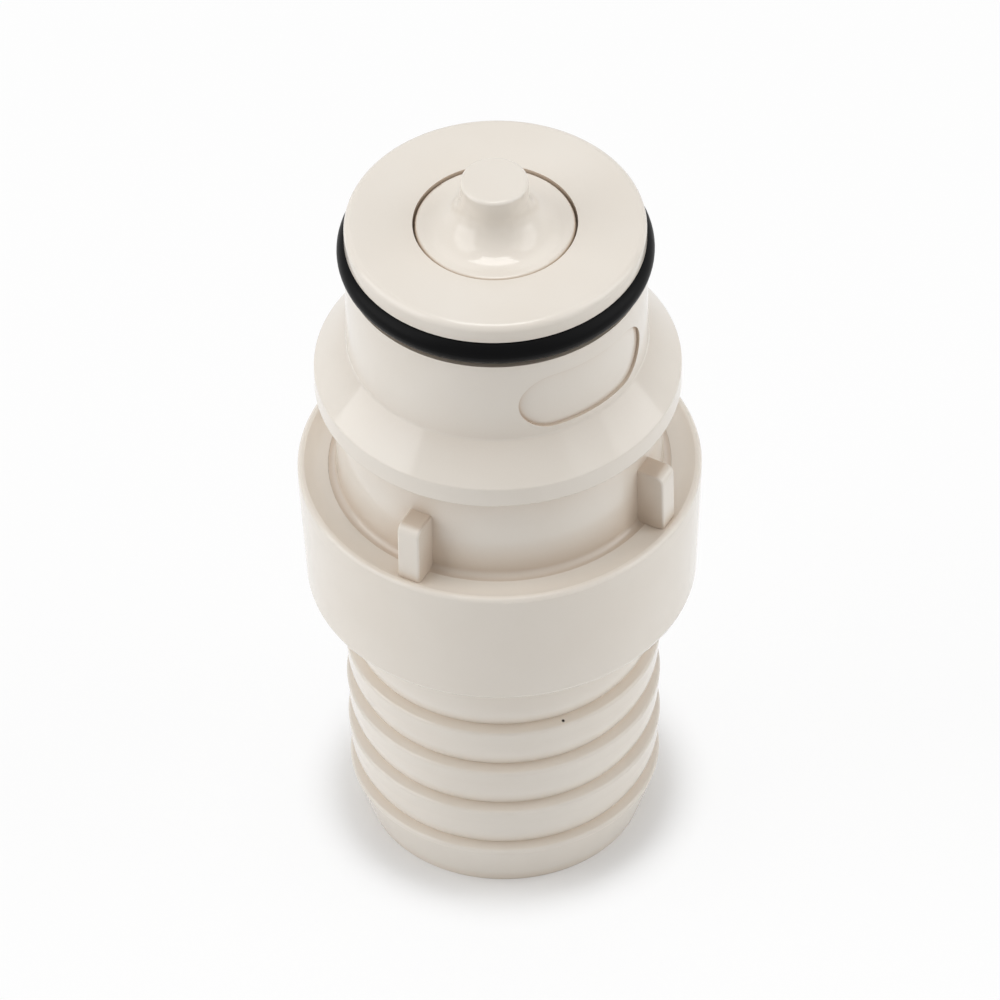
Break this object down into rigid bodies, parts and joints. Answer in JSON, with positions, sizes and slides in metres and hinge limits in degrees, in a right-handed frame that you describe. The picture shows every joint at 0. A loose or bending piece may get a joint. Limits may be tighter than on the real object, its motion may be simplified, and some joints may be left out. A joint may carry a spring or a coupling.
{
  "type": "quick disconnect coupling insert",
  "caption": "Valved plastic quick disconnect insert: flat nose with O-ring and push-pin poppet, drive ribs on the waist, collar and barbed hose tail.",
  "frame": {"origin": "centre of the hose end's face, on the axis of the coupling", "axes": "+Z along the coupling's axis from the hose end to the mating face; -Y is the front, +X to the right of it"},
  "size_m": [0.0276, 0.0276, 0.0574],
  "materials": {
    "body_plastic": "gloss",
    "tail_plastic": "gloss",
    "poppet_plastic": "gloss",
    "guide_plastic": "gloss",
    "ring_rubber": "satin",
    "seal_rubber": "satin",
    "spring_steel": "satin"
  },
  "bodies": {
    "housing": {"insert_body": "body_plastic", "hose_barb": "tail_plastic", "nose_oring": "ring_rubber", "valve_guide": "guide_plastic", "valve_spring": "spring_steel"},
    "valve": {"poppet": "poppet_plastic", "poppet_seal": "seal_rubber"}
  },
  "joints": [
    {"name": "poppet_slide", "type": "slide", "parent": "housing", "child": "valve", "axis": [0, 0, 1], "range_m": [-0.0045, 0], "stiffness_N_per_m": 900, "springref_m": 0.008, "deforming": ["valve_spring"]}
  ]
}
